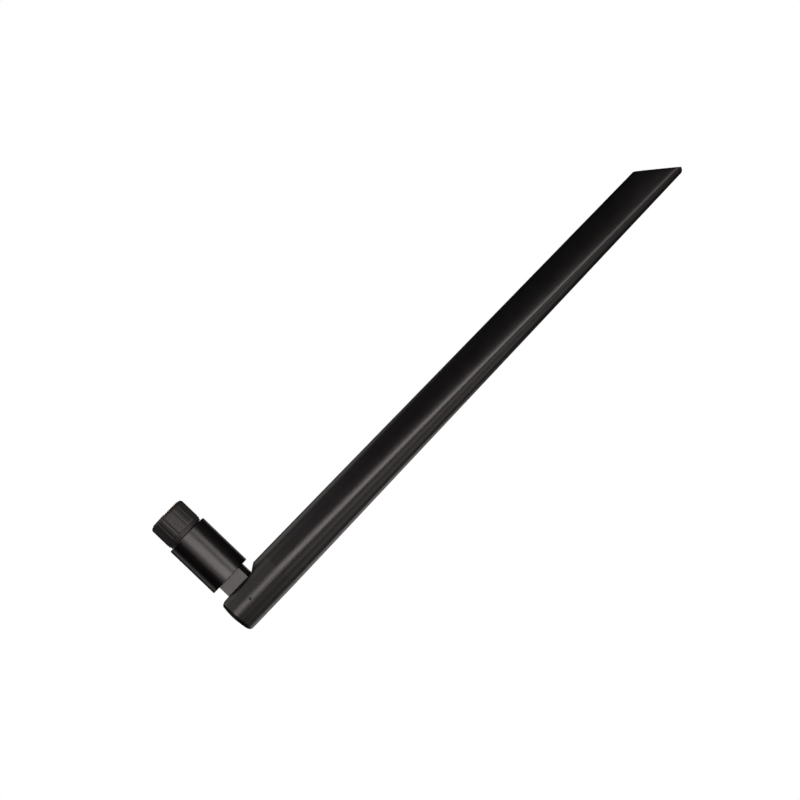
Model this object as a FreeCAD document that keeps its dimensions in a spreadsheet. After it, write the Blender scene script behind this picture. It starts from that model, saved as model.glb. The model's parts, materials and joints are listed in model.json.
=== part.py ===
"""Dual-band paddle antenna with an RP-SMA plug, a swivel collar and a tilt hinge.

Frame: millimetres, +Z up.  The origin is the centre of the coupling nut's mouth, the
connector's axis runs along X and the panel jack leaves towards -X.  The blade stands
along +Z on the hinge pin, bent 90 degrees to the connector.
"""

import FreeCAD, Part
import math
import operator
import os

import Sketcher

os.makedirs("parts", exist_ok=True)
doc = FreeCAD.newDocument("omni_antenna")
nodes = []


# ---------------------------------------------------------------- sizes

SIZES = {
    # Screw coupling
    "thread_radius": (3.2, "wall of the 1/4-36 thread that receives the jack"),
    "thread_start": (0.3, "lead-in before the thread"),
    "thread_length": (3.5, "length of threaded wall"),
    "relief_radius": (3.45, "unthreaded bore behind the thread"),
    "nut_flats": (7.6, "hexagon under the grip, across its flats"),
    "nut_collar_radius": (4.2, "round rear collar of the nut"),
    "least_wall": (0.2, "thinnest wall kept in the nut and the grip"),
    "grip_radius": (4.95, "over the ribs"),
    "grip_length": (6.3, "mouth to the rear bead"),
    "skirt_radius": (4.72, "low skirt behind the bead"),
    "grip_rounding": (0.7, "soft front edge"),
    "rib_count": (20, "ribs round the grip"),
    "rib_depth": (0.22, "depth of the hollows between ribs"),
    "rib_gap": (0.62, "width of the hollows between ribs"),
    "bead_width": (0.35, "plain bead behind the ribs"),
    "bead_gap": (0.25, "groove between the ribs and the bead"),
    # Plug
    "plug_tip_radius": (2.28, "outer conductor that enters the jack"),
    "plug_tip_length": (1.9, "tip to shoulder"),
    "insulator_radius": (2.0, "PTFE bush"),
    "contact_radius": (0.635, "centre contact"),
    "contact_bore": (0.47, "socket for a centre pin"),
    "flange_length": (2.0, "shoulder to the friction washer"),
    "shank_radius": (2.9, "journal that the neck turns on"),
    "least_step": (0.35, "least that the flange stands over the journal"),
    "shank_length": (6.7, "friction washer's face to the crimp barrel"),
    "gasket_thickness": (0.5, "ring against the shoulder"),
    "ring_width": (0.4, "snap ring and swivel clip"),
    "washer_thickness": (0.3, "friction washer"),
    "barrel_length": (3.0, "crimp barrel"),
    "barrel_radius": (0.62, "crimp barrel"),
    # Coaxial cable
    "jacket_radius": (0.685, "1.37 mm coax"),
    "braid_radius": (0.54, "braid over the dielectric"),
    "dielectric_radius": (0.35, "PTFE core"),
    "wire_radius": (0.12, "centre conductor"),
    "bend_radius": (4.0, "cable's bend through the hinge"),
    # Swivel neck and collar
    "pivot_distance": (28.0, "mouth to hinge axis"),
    "collar_radius": (5.5, "outside of the swivel collar"),
    "collar_wall": (1.05, "tube wall of the collar"),
    "collar_end_wall": (1.2, "thickness of the collar's hinge end"),
    "collar_start": (7.0, "mouth to the collar's front face"),
    "collar_reach": (6.9, "hinge axis to the collar's hinge end"),
    "tongue_thickness": (4.5, "hinge tongue between the ears"),
    "tongue_low": (3.42, "hinge axis to the tongue's lower face"),
    "tongue_high": (4.05, "hinge axis to the tongue's stop face"),
    "stop_bevel": (0.75, "bevel at the end of the stop face"),
    "tongue_bevel": (1.05, "bevel along the tongue's two upper edges"),
    "channel_width": (1.9, "cable channel"),
    # Hinge yoke
    "yoke_radius": (5.3, "round body of the yoke and foot of the blade"),
    "yoke_drop": (6.35, "hinge axis to the lowest face"),
    "yoke_top": (9.5, "hinge axis to the seam with the blade"),
    "yoke_flat": (3.86, "hinge axis to the flat on the open side"),
    "notch_top": (4.2, "hinge axis to the top of that flat"),
    "chamfer_end": (6.35, "where the chamfer meets the round body"),
    "corner_radius": (1.9, "lower corner on the open side"),
    "web_inside": (3.75, "hinge axis to the web that closes the slot"),
    "slot_clearance": (0.1, "each side of the tongue"),
    "spigot_length": (6.5, "yoke inside the blade"),
    "pin_radius": (0.8, "hinge pin"),
    "pin_skin": (0.8, "ear left outside the pin's blind bore"),
    "vent_radius": (0.35, "vent through that skin"),
    # Blade
    "blade_top": (142.0, "hinge axis to the highest point"),
    "tip_rise": (8.4, "height of the oblique cut across the top"),
    "tip_fall": (0.6, "fall of the short slope down to the thick edge"),
    "top_peak": (3.2, "blade axis to the highest point"),
    "tip_right": (4.2, "blade axis to its thick edge at the top"),
    "tip_left": (4.17, "blade axis to its thin edge at the top"),
    "tip_ridge": (2.95, "blade axis to the ridge at the top"),
    "tip_half_depth": (2.2, "half thickness at the ridge, at the top"),
    "edge_half_depth": (0.7, "half thickness of the thin edge, at the top"),
    "foot_ridge": (0.46, "blade axis to the ridge at the foot"),
    "shell_wall": (1.2, "wall of the blade"),
    # Radiator
    "board_start": (20.0, "hinge axis to the board's lower edge"),
    "board_top_gap": (10.6, "board's end to the low end of the oblique top"),
    "board_width": (5.2, "FR-4 board"),
    "board_thickness": (0.6, "FR-4 board"),
    "board_shift": (0.2, "board centre towards the thick edge"),
    "notch_width": (1.5, "slot for the cable"),
    "notch_depth": (32.0, "slot for the cable"),
    "copper": (0.07, "copper layer"),
    "strip_width": (0.9, "narrow copper strips"),
    "long_arm": (27.0, "quarter wave at 2.45 GHz"),
    "short_arm": (12.0, "quarter wave at 5.5 GHz"),
    "meander_bars": (9, "bars of the phasing meander"),
    "meander_pitch": (1.1, "from bar to bar"),
    "meander_bar": (0.5, "width of a bar"),
    "pad_width": (3.0, "foam pads"),
    "pad_length": (8.0, "foam pads"),
    "low_pad_height": (66.0, "hinge axis to the lower foam pads"),
    "high_pad_drop": (15.0, "board's end to the foot of the upper foam pads"),
    # Fits
    "running_gap": (0.05, "radial play of the turning fits"),
    "snug_gap": (0.02, "play of glued and pressed pieces"),
    "face_gap": (0.15, "between the turning ends of the nut and the collar"),
}


class Size:
    """A number, with the sheet formula that keeps it up to date."""

    def __init__(self, value, formula):
        self.value = float(value)
        self.formula = formula

    def join(self, other, sign, work, swapped=False):
        pair = (as_size(other), self) if swapped else (self, as_size(other))
        value = work(pair[0].value, pair[1].value)
        return Size(value, f"({pair[0].formula} {sign} {pair[1].formula})")

    def __add__(self, other):
        return self.join(other, "+", operator.add)

    def __radd__(self, other):
        return self.join(other, "+", operator.add, swapped=True)

    def __sub__(self, other):
        return self.join(other, "-", operator.sub)

    def __rsub__(self, other):
        return self.join(other, "-", operator.sub, swapped=True)

    def __mul__(self, other):
        return self.join(other, "*", operator.mul)

    def __rmul__(self, other):
        return self.join(other, "*", operator.mul, swapped=True)

    def __truediv__(self, other):
        return self.join(other, "/", operator.truediv)

    def __neg__(self):
        return self * -1


def as_size(number):
    """A plain number is its own formula."""
    return number if isinstance(number, Size) else Size(number, f"({float(number)!r})")


def larger(first, second):
    """The larger of two sizes, with a formula that stays true when either changes."""
    first, second = as_size(first), as_size(second)
    return Size(max(first.value, second.value), f"max({first.formula}; {second.formula})")


def fill_sheet():
    """The spreadsheet of driving sizes, one per row with its alias and its meaning."""
    sheet = doc.addObject("Spreadsheet::Sheet", "Sizes")
    for row, (alias, (number, meaning)) in enumerate(SIZES.items(), start=1):
        sheet.set(f"A{row}", alias)
        sheet.set(f"B{row}", str(number))
        sheet.setAlias(f"B{row}", alias)
        sheet.set(f"C{row}", meaning)
    doc.recompute()
    return sheet


def size(alias):
    return Size(sheet.get(alias), f"Sizes.{alias}")


def bind(item, place, length):
    """Tie one property or constraint to the sheet."""
    item.setExpression(place, as_size(length).formula)


sheet = fill_sheet()


# ---------------------------------------------------------------- drawing

def vector(spot):
    return FreeCAD.Vector(as_size(spot[0]).value, as_size(spot[1]).value, 0)


def pin_down(sketch, geometry, end, spot):
    """Fix one end of a piece of geometry at a place given by two sizes."""
    for kind, along in zip(("DistanceX", "DistanceY"), spot):
        along = as_size(along)
        rule = Sketcher.Constraint(kind, -1, 1, geometry, end, along.value)
        number = sketch.addConstraint(rule)
        bind(sketch, f"Constraints[{number}]", along)


def add_arc(sketch, start, middle, end):
    """An arc through three places; sketches keep arcs counter-clockwise."""
    first, second, third = vector(start), vector(middle), vector(end)
    clockwise = (second - first).cross(third - second).z < 0
    if clockwise:
        start, end = end, start
        first, third = third, first
    arc = sketch.addGeometry(Part.Arc(first, second, third), False)
    pin_down(sketch, arc, 1, start)
    pin_down(sketch, arc, 2, end)
    mark = sketch.addGeometry(Part.Point(second), True)
    pin_down(sketch, mark, 1, middle)
    sketch.addConstraint(Sketcher.Constraint("PointOnObject", mark, 1, arc))


def add_outline(sketch, outline):
    """A closed outline of places; one marked 'via' bends its edge into an arc."""
    count = len(outline)
    for index, spot in enumerate(outline):
        after = outline[(index + 1) % count]
        if len(spot) == 3:
            continue
        if len(after) == 3:
            add_arc(sketch, spot, after, outline[(index + 2) % count])
            continue
        line = sketch.addGeometry(Part.LineSegment(vector(spot), vector(after)), False)
        pin_down(sketch, line, 1, spot)
        pin_down(sketch, line, 2, after)


def add_circle(sketch, centre, radius):
    radius = as_size(radius)
    normal = FreeCAD.Vector(0, 0, 1)
    circle = sketch.addGeometry(Part.Circle(vector(centre), normal, radius.value), False)
    pin_down(sketch, circle, 3, centre)
    number = sketch.addConstraint(Sketcher.Constraint("Radius", circle, radius.value))
    bind(sketch, f"Constraints[{number}]", radius)


def place_sketch(body, plane, lift=0):
    """An empty sketch on one of the body's own origin planes, raised along its normal."""
    sketch = body.newObject("Sketcher::SketchObject", f"{body.Name}_sketch")
    features = body.Origin.OriginFeatures
    support = next(item for item in features if item.Role == plane)
    sketch.AttachmentSupport = [(support, "")]
    sketch.MapMode = "FlatFace"
    bind(sketch, "AttachmentOffset.Base.z", lift)
    return sketch


def draw(body, plane, *outlines, lift=0):
    sketch = place_sketch(body, plane, lift)
    for outline in outlines:
        add_outline(sketch, outline)
    return sketch


def draw_circles(body, plane, radius, centres=((0, 0),), lift=0):
    sketch = place_sketch(body, plane, lift)
    for centre in centres:
        add_circle(sketch, centre, radius)
    return sketch


def new_body(label, hinge_frame=False):
    """A body drawn about the nut's mouth, or about the hinge axis."""
    body = doc.addObject("PartDesign::Body", label)
    body.Label = label
    if hinge_frame:
        bind(body, "Placement.Base.x", size("pivot_distance"))
    return body


def finish(item):
    """Keep an object as one of the antenna's sub-parts."""
    nodes.append(item)
    return item


def revolve(body, sketch, axis="H_Axis", angle=360):
    turn = body.newObject("PartDesign::Revolution", f"{body.Name}_turn")
    turn.Profile = sketch
    turn.ReferenceAxis = (sketch, [axis])
    turn.Angle = angle
    return turn


def extrude(body, kind, sketch, length=None, both_ways=False, reverse=False):
    """A Pad or a Pocket; without a length a Pocket goes through everything."""
    feature = body.newObject(f"PartDesign::{kind}", f"{body.Name}_{kind.lower()}")
    feature.Profile = sketch
    feature.Reversed = reverse
    if both_ways:
        feature.SideType = "Symmetric"
    if length is None:
        feature.Type = "ThroughAll"
    else:
        bind(feature, "Length", length)
    return feature


def cut(body, sketch, length=None, both_ways=True, reverse=False):
    """A Pocket that is checked to have removed something."""
    doc.recompute()
    before = body.Shape.Volume
    pocket = extrude(body, "Pocket", sketch, length, both_ways, reverse)
    doc.recompute()
    if body.Shape.Volume > before - 1e-3:
        raise RuntimeError(f"{pocket.Label} removes nothing from {body.Label}")
    return pocket


def rectangle(left, right, low, high):
    return [(left, low), (right, low), (right, high), (left, high)]


def turned(label, outline, hinge_frame=False, axis="H_Axis", angle=360):
    """A turned piece: its half section, given along and away from the axis."""
    body = new_body(label, hinge_frame)
    revolve(body, draw(body, "XZ_Plane", outline), axis, angle)
    return finish(body)


def tube(label, start, end, inner, outer, hinge_frame=False, angle=360):
    """A plain tube, rod or open ring along the connector's axis."""
    outline = rectangle(start, end, inner, outer)
    return turned(label, outline, hinge_frame, angle=angle)


def upright_tube(label, start, end, inner, outer):
    """A plain tube or rod along the blade's axis."""
    outline = rectangle(inner, outer, start, end)
    return turned(label, outline, hinge_frame=True, axis="V_Axis")


def box(label, low, high, hinge_frame=True):
    """A block between two opposite corners."""
    block = doc.addObject("Part::Box", label)
    for side, axis, start, end in zip(("Length", "Width", "Height"), "xyz", low, high):
        bind(block, side, as_size(end) - start)
        shift = size("pivot_distance") if hinge_frame and axis == "x" else 0
        bind(block, f"Placement.Base.{axis}", as_size(start) + shift)
    return block


def group(label, items):
    """Separate solids of one kind under one name."""
    union = doc.addObject("Part::MultiFuse", label)
    union.Label = label
    union.Shapes = items
    return finish(union)


# ---------------------------------------------------------------- screw coupling

thread_end = size("thread_start") + size("thread_length")
plug_tip = thread_end + 0.1
shoulder = plug_tip + size("plug_tip_length")
washer_face = shoulder + size("flange_length")
ring_start = shoulder + 0.25
nut_end = size("collar_start") - size("face_gap")

# Each ring round the journal is its named size, or larger when what it holds has grown.
flange_radius = larger(size("relief_radius") - 0.2, size("shank_radius") + size("least_step"))
hub_seat = flange_radius - 0.25
relief_radius = flange_radius + 0.2
nut_ring_radius = relief_radius + 0.3
nut_flats = larger(size("nut_flats"), 2 * (nut_ring_radius + 0.04))
nut_collar_radius = larger(size("nut_collar_radius"), nut_ring_radius + size("least_wall"))
grip_opening = (nut_flats + 2 * size("snug_gap")) / 2 / math.cos(math.radians(30))
skirt_radius = larger(
    size("skirt_radius"), nut_collar_radius + size("snug_gap") + size("least_wall"))
grip_radius = larger(
    larger(size("grip_radius"), skirt_radius + 0.05),
    grip_opening + size("rib_depth") + size("least_wall"))


def coupling_nut():
    """Brass hexagon nut with its thread wall, relief bore and snap-ring groove."""
    body = new_body("coupling_nut")
    corner = nut_flats / 2 / math.cos(math.radians(30))
    turns = [math.radians(60 * step) for step in range(6)]
    hexagon = [(corner * math.cos(turn), corner * math.sin(turn)) for turn in turns]
    collar_face = size("grip_length") + size("snug_gap")
    extrude(body, "Pad", draw(body, "YZ_Plane", hexagon), collar_face)
    collar = rectangle(collar_face, nut_end, 0, nut_collar_radius)
    revolve(body, draw(body, "XZ_Plane", collar))
    bore = [
        (-1, 0),
        (-1, size("thread_radius") + size("thread_start")),
        (0, size("thread_radius") + size("thread_start")),
        (size("thread_start"), size("thread_radius")),
        (thread_end, size("thread_radius")),
        (thread_end, relief_radius),
        (ring_start - 0.1, relief_radius),
        (ring_start - 0.1, nut_ring_radius),
        (ring_start + size("ring_width") + 0.1, nut_ring_radius),
        (ring_start + size("ring_width") + 0.1, relief_radius),
        (nut_end + 1, relief_radius),
        (nut_end + 1, 0),
    ]
    groove = body.newObject("PartDesign::Groove", "nut_bore")
    sketch = draw(body, "XZ_Plane", bore)
    groove.Profile = sketch
    groove.ReferenceAxis = (sketch, ["H_Axis"])
    body.Tip = groove
    return finish(body)


def knurled_grip():
    """Plastic cover on the nut: ribs along it, a plain bead, then a low skirt."""
    body = new_body("knurled_grip")
    radius = grip_radius
    rounding = size("grip_rounding")
    mouth_radius = size("thread_radius") + 0.35
    face = 0.15
    bead_start = size("grip_length") - size("bead_width")
    groove_start = bead_start - size("bead_gap")
    corner = 1 - math.cos(math.radians(45))
    outline = [
        (face, mouth_radius),
        (face, radius - rounding),
        (face + rounding * corner, radius - rounding * corner, "via"),
        (face + rounding, radius),
        (groove_start, radius),
        (groove_start, radius - size("rib_depth")),
        (bead_start, radius - size("rib_depth")),
        (bead_start, radius),
        (size("grip_length"), radius),
        (size("grip_length"), skirt_radius),
        (nut_end, skirt_radius),
        (nut_end, mouth_radius),
    ]
    revolve(body, draw(body, "XZ_Plane", outline))
    turns = [math.radians(60 * step) for step in range(6)]
    hexagon = [(grip_opening * math.cos(turn), grip_opening * math.sin(turn)) for turn in turns]
    cut(body, draw(body, "YZ_Plane", hexagon), 2 * nut_end + 1)
    seat = draw_circles(body, "YZ_Plane", nut_collar_radius + size("snug_gap"),
                        lift=size("grip_length"))
    cut(body, seat, 1, both_ways=False, reverse=True)
    half = size("rib_gap") / 2
    floor = radius - size("rib_depth")
    hollow = [
        (-half, radius + 0.3),
        (-half, radius - 0.02),
        (0, floor, "via"),
        (half, radius - 0.02),
        (half, radius + 0.3),
    ]
    first = cut(body, draw(body, "YZ_Plane", hollow), 2 * groove_start)
    ribs = body.newObject("PartDesign::PolarPattern", "grip_ribs")
    ribs.Originals = [first]
    ribs.Axis = (next(item for item in body.Origin.OriginFeatures if item.Role == "X_Axis"), [""])
    ribs.Angle = 360
    bind(ribs, "Occurrences", size("rib_count"))
    body.Tip = ribs
    return finish(body)


coupling_nut()
knurled_grip()


# ---------------------------------------------------------------- plug

shank_start = washer_face + size("washer_thickness")
shank_end = shank_start + size("shank_length")
barrel_end = shank_end + size("barrel_length")
cup_radius = size("collar_radius") - size("collar_wall") - size("snug_gap")
contact_front = plug_tip + 0.2
insulator_end = plug_tip + 5.2
contact_end = insulator_end + 1.8
clip_start = shank_end - 2.2
clip_groove = size("shank_radius") - 0.45


def plug_body():
    """Turned brass body: tip, flange, journal with its clip groove, crimp barrel."""
    ring_floor = flange_radius - 0.45
    ring_end = ring_start + size("ring_width") + 0.05
    clip_end = clip_start + size("ring_width") + 0.05
    bush = size("insulator_radius") + size("snug_gap")
    outline = [
        (plug_tip, bush),
        (plug_tip, size("plug_tip_radius")),
        (shoulder, size("plug_tip_radius")),
        (shoulder, flange_radius),
        (ring_start - 0.05, flange_radius),
        (ring_start - 0.05, ring_floor),
        (ring_end, ring_floor),
        (ring_end, hub_seat),
        (washer_face, hub_seat),
        (washer_face, size("shank_radius")),
        (clip_start - 0.05, size("shank_radius")),
        (clip_start - 0.05, clip_groove),
        (clip_end, clip_groove),
        (clip_end, size("shank_radius")),
        (shank_end, size("shank_radius")),
        (shank_end, size("barrel_radius")),
        (barrel_end, size("barrel_radius")),
        (barrel_end, size("dielectric_radius") + size("snug_gap")),
        (shank_end - 1, size("dielectric_radius") + size("snug_gap")),
        (shank_end - 1.6, 1.1),
        (insulator_end, 1.1),
        (insulator_end, bush),
    ]
    return turned("plug_body", outline)


def socket_contact():
    """Centre contact: a socket in front, a solder pot for the wire behind."""
    pot = size("wire_radius") + size("snug_gap")
    outline = [
        (contact_front, size("contact_bore")),
        (contact_front, size("contact_radius")),
        (contact_end, size("contact_radius")),
        (contact_end, pot),
        (contact_end - 1.2, pot),
        (contact_end - 1.2, 0),
        (contact_front + 2.6, 0),
        (contact_front + 2.6, size("contact_bore")),
    ]
    return turned("socket_contact", outline)


def friction_washer():
    """Nylon disc under the neck's cup, with a thin hub forward over the flange."""
    face = washer_face + size("snug_gap")
    back = shank_start - size("snug_gap")
    hub_start = ring_start + size("ring_width") + 0.15
    outline = [
        (hub_start, hub_seat + size("snug_gap")),
        (hub_start, flange_radius),
        (face, flange_radius),
        (face, cup_radius),
        (back, cup_radius),
        (back, size("shank_radius") + size("running_gap")),
        (face, size("shank_radius") + size("running_gap")),
        (face, hub_seat + size("snug_gap")),
    ]
    return turned("friction_washer", outline)


jacket_start = barrel_end + 0.1
ferrule_inner = size("barrel_radius") + 0.16
braid_end = jacket_start - size("snug_gap")
neck_cable_start = jacket_start + 2.4

plug_body()
tube("insulator", plug_tip, insulator_end, size("contact_radius") + size("snug_gap"),
     size("insulator_radius"))
socket_contact()
friction_washer()
tube("gasket", shoulder - size("gasket_thickness"), shoulder - size("snug_gap"),
     size("plug_tip_radius") + size("running_gap"), relief_radius - 0.15)
tube("snap_ring", ring_start, ring_start + size("ring_width"),
     flange_radius - 0.4, nut_ring_radius - 0.07, angle=320)
tube("swivel_clip", clip_start, clip_start + size("ring_width"),
     clip_groove + size("running_gap"), size("shank_radius") + 0.3, angle=320)
tube("crimp_ferrule", shank_end + 0.2, jacket_start + 1.2, ferrule_inner,
     ferrule_inner + 0.35)
tube("coax_braid_plug", shank_end + 0.2, braid_end, size("barrel_radius") + size("snug_gap"),
     ferrule_inner - size("snug_gap"))
tube("coax_core_plug", contact_end + 0.3, neck_cable_start, size("wire_radius"),
     size("dielectric_radius"))
tube("coax_wire_plug", contact_end - 1.1, neck_cable_start, 0, size("wire_radius"))
tube("coax_jacket_plug", jacket_start, neck_cable_start,
     size("dielectric_radius") + size("snug_gap"), size("jacket_radius"))


# ---------------------------------------------------------------- swivel neck and collar

collar_inside = -size("collar_reach") - size("collar_end_wall")
tongue_half = size("tongue_thickness") / 2
from_hinge = -size("pivot_distance")


def swivel_neck():
    """Cup that turns on the plug's journal, with the hinge tongue on its closed end."""
    body = new_body("swivel_neck", hinge_frame=True)
    journal = size("shank_radius") + size("running_gap")
    clip_room = size("shank_radius") + 0.4
    outline = [
        (from_hinge + shank_start + size("snug_gap"), journal),
        (from_hinge + shank_start + size("snug_gap"), cup_radius),
        (collar_inside - size("snug_gap"), cup_radius),
        (collar_inside - size("snug_gap"), size("jacket_radius") + 0.2),
        (from_hinge + neck_cable_start, size("jacket_radius") + 0.2),
        (from_hinge + neck_cable_start, 1.9),
        (from_hinge + shank_end + 0.1, 1.9),
        (from_hinge + shank_end + 0.1, journal),
        (from_hinge + clip_start + size("ring_width") + 0.1, journal),
        (from_hinge + clip_start + size("ring_width") + 0.1, clip_room),
        (from_hinge + clip_start - 0.1, clip_room),
        (from_hinge + clip_start - 0.1, journal),
    ]
    revolve(body, draw(body, "XZ_Plane", outline))
    low = size("tongue_low")
    high = size("tongue_high")
    root = collar_inside - size("snug_gap") - 0.01
    side = [
        (root, -low),
        (0, -low),
        (low, 0, "via"),
        (0, low),
        (-size("stop_bevel"), high),
        (root, high),
    ]
    extrude(body, "Pad", draw(body, "XZ_Plane", side), size("tongue_thickness"), both_ways=True)
    bevel_foot = high - size("tongue_bevel") - 0.2
    bevel_top = tongue_half - size("tongue_bevel") - 0.1
    above = [
        (-tongue_half - 0.2, bevel_foot),
        (-bevel_top, high + 0.1),
        (bevel_top, high + 0.1),
        (tongue_half + 0.2, bevel_foot),
        (tongue_half + 0.2, high + 0.5),
        (-tongue_half - 0.2, high + 0.5),
    ]
    cut(body, draw(body, "YZ_Plane", above, lift=root), size("collar_reach") + 1,
        both_ways=False, reverse=True)
    reach = size("bend_radius") + 1
    channel_floor = size("jacket_radius") + 0.2
    channel = [
        (-size("bend_radius") - 0.6, -channel_floor),
        (reach, -channel_floor),
        (reach, reach),
        (-channel_floor - 0.3, reach),
        (-channel_floor - 0.3, high - 1.2),
        (-size("bend_radius") - 0.6, channel_floor),
    ]
    cut(body, draw(body, "XZ_Plane", channel), size("channel_width"))
    feed = draw_circles(body, "YZ_Plane", channel_floor, lift=collar_inside - 1)
    cut(body, feed, size("collar_end_wall") + size("collar_reach") + 1
        - size("bend_radius"), both_ways=False, reverse=True)
    pins = draw_circles(body, "XZ_Plane", size("pin_radius") + size("running_gap"))
    cut(body, pins, size("yoke_radius") * 2)
    return finish(body)


def collar_sleeve():
    """Plain outer tube over the neck's cup; its end wall lets the tongue through."""
    body = new_body("collar_sleeve", hinge_frame=True)
    front = from_hinge + size("collar_start")
    end = -size("collar_reach")
    inner = size("collar_radius") - size("collar_wall")
    chamfer = 0.12
    outline = [
        (front, inner),
        (front, size("collar_radius") - chamfer),
        (front + chamfer, size("collar_radius")),
        (end - chamfer, size("collar_radius")),
        (end, size("collar_radius") - chamfer),
        (end, 0),
        (collar_inside, 0),
        (collar_inside, inner),
    ]
    revolve(body, draw(body, "XZ_Plane", outline))
    half = tongue_half + size("snug_gap")
    low = size("tongue_low") + size("snug_gap")
    window = rectangle(-half, half, -low, size("tongue_high") + size("snug_gap"))
    cut(body, draw(body, "YZ_Plane", window, lift=end), size("collar_end_wall") * 3)
    return finish(body)


swivel_neck()
collar_sleeve()
tube("coax_jacket_neck", from_hinge + neck_cable_start + size("snug_gap"),
     -size("bend_radius") - size("snug_gap"), 0, size("jacket_radius"), hinge_frame=True)


def coax_hinge_bend():
    """The cable's quarter bend, from the neck up into the blade."""
    bend = doc.addObject("Part::Torus", "coax_hinge_bend")
    bind(bend, "Radius1", size("bend_radius"))
    bind(bend, "Radius2", size("jacket_radius"))
    bend.Angle3 = 90
    upright = FreeCAD.Rotation(FreeCAD.Vector(1, 0, 0), 90)
    bend.Placement.Rotation = upright.multiply(FreeCAD.Rotation(FreeCAD.Vector(0, 0, 1), -90))
    bind(bend, "Placement.Base.x", size("pivot_distance") - size("bend_radius"))
    bind(bend, "Placement.Base.z", size("bend_radius"))
    return finish(bend)


coax_hinge_bend()


# ---------------------------------------------------------------- hinge yoke

seat_radius = size("yoke_radius") - size("shell_wall")


def hinge_yoke():
    """Clevis: two ears, a web on the closed side and a spigot up into the blade."""
    body = new_body("hinge_yoke", hinge_frame=True)
    radius = size("yoke_radius")
    drop = size("yoke_drop")
    top = size("yoke_top")
    spigot = seat_radius - size("snug_gap")
    outline = [
        (0, -drop),
        (0.4 * radius, -drop),
        (radius - 0.9, -drop + 0.4),
        (radius - 0.22, -drop + 0.78, "via"),
        (radius, -drop + 1.5),
        (radius, top - size("snug_gap")),
        (spigot, top - size("snug_gap")),
        (spigot, top + size("spigot_length")),
        (0, top + size("spigot_length")),
    ]
    revolve(body, draw(body, "XZ_Plane", outline), "V_Axis")

    flat = -size("yoke_flat")
    corner = size("corner_radius")
    bow = corner * (1 - math.cos(math.radians(45)))
    far = -radius - 2
    open_side = [
        (flat, size("notch_top")),
        (-radius - 0.15, size("chamfer_end")),
        (far, size("chamfer_end")),
        (far, -drop - 1),
        (flat + corner, -drop - 1),
        (flat + corner, -drop),
        (flat + bow, -drop + bow, "via"),
        (flat, -drop + corner),
    ]
    cut(body, draw(body, "XZ_Plane", open_side), radius * 3)

    slot_half = tongue_half + size("slot_clearance")
    ceiling = size("tongue_high") + size("slot_clearance")
    rounding = 0.8
    arc = rounding * (1 - math.cos(math.radians(45)))
    web = size("web_inside")
    slot = [
        (far, -drop - 1),
        (web, -drop - 1),
        (web, ceiling - rounding),
        (web - arc, ceiling - arc, "via"),
        (web - rounding, ceiling),
        (far, ceiling),
    ]
    cut(body, draw(body, "XZ_Plane", slot), slot_half * 2)

    hole = draw_circles(body, "XY_Plane", size("jacket_radius") + 0.25)
    cut(body, hole, size("yoke_top") * 2 + size("spigot_length") * 2 + 2)
    pins = draw_circles(body, "XZ_Plane", size("pin_radius") + size("snug_gap"))
    cut(body, pins, (radius - size("pin_skin")) * 2)
    cut(body, draw_circles(body, "XZ_Plane", size("vent_radius")), radius * 3)
    return finish(body)


def pivot_pins():
    """Two short pins, one in each ear, that leave the cable's channel free."""
    reach = size("yoke_radius") - size("pin_skin") - size("snug_gap")
    inner = size("channel_width") / 2 + 0.1
    pins = []
    for name, start in (("front_pin", -reach), ("rear_pin", inner)):
        pin = doc.addObject("Part::Cylinder", name)
        bind(pin, "Radius", size("pin_radius"))
        bind(pin, "Height", reach - inner)
        pin.Placement.Rotation = FreeCAD.Rotation(FreeCAD.Vector(1, 0, 0), -90)
        bind(pin, "Placement.Base.x", size("pivot_distance"))
        bind(pin, "Placement.Base.y", start)
        pins.append(pin)
    return group("pivot_pins", pins)


hinge_yoke()
pivot_pins()


# ---------------------------------------------------------------- blade

def section(left, right, ridge, depth, edge_depth):
    """Drop-shaped section: thick round edge right, flat cheeks, thin round edge left."""
    cheek = 0.06
    middle = (ridge + left) / 2
    middle_depth = (depth + edge_depth) / 2 + cheek
    inset = edge_depth * 0.9
    return [
        (left + inset, -edge_depth),
        (middle, -middle_depth, "via"),
        (ridge, -depth),
        (right, 0, "via"),
        (ridge, depth),
        (middle, middle_depth, "via"),
        (left + inset, edge_depth),
        (left, 0, "via"),
    ]


def round_section(radius, ridge, lean):
    """A circle cut into the same four arcs as the drop-shaped section."""
    depth = radius * math.cos(math.asin(ridge.value / radius.value))
    edge = radius * math.sin(math.radians(lean))
    left = radius * -math.cos(math.radians(lean))
    middle_turn = math.radians(lean / 2 + 45)
    middle = (radius * -math.cos(middle_turn), radius * math.sin(middle_turn))
    return [
        (left, -edge),
        (middle[0], -middle[1], "via"),
        (ridge, -depth),
        (radius, 0, "via"),
        (ridge, depth),
        (middle[0], middle[1], "via"),
        (left, edge),
        (-radius, 0, "via"),
    ]


seat_end = size("yoke_top") + size("spigot_length") + 0.3


def paddle(label, foot, foot_height, tip, drop):
    """The blade's tapering form, cut off obliquely; drop lowers the cut."""
    body = new_body(label, hinge_frame=True)
    low = draw(body, "XY_Plane", foot, lift=foot_height)
    high = draw(body, "XY_Plane", tip, lift=size("blade_top") + 2)
    loft = body.newObject("PartDesign::AdditiveLoft", f"{label}_loft")
    loft.Profile = low
    loft.Sections = [high]
    loft.Ruled = True
    left = -size("tip_left")
    wide = 12
    peak = size("top_peak")
    slope = size("tip_rise") / (peak - left)
    fall = size("tip_fall") / (size("tip_right") - peak)
    low_end = size("blade_top") - size("tip_rise") - drop
    above = [
        (left - wide, low_end - slope * wide),
        (peak, size("blade_top") - drop),
        (wide, size("blade_top") - drop - fall * (wide - peak)),
        (wide, size("blade_top") + wide),
        (left - wide, size("blade_top") + wide),
    ]
    cut(body, draw(body, "XZ_Plane", above), wide * 2)
    return body


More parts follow.
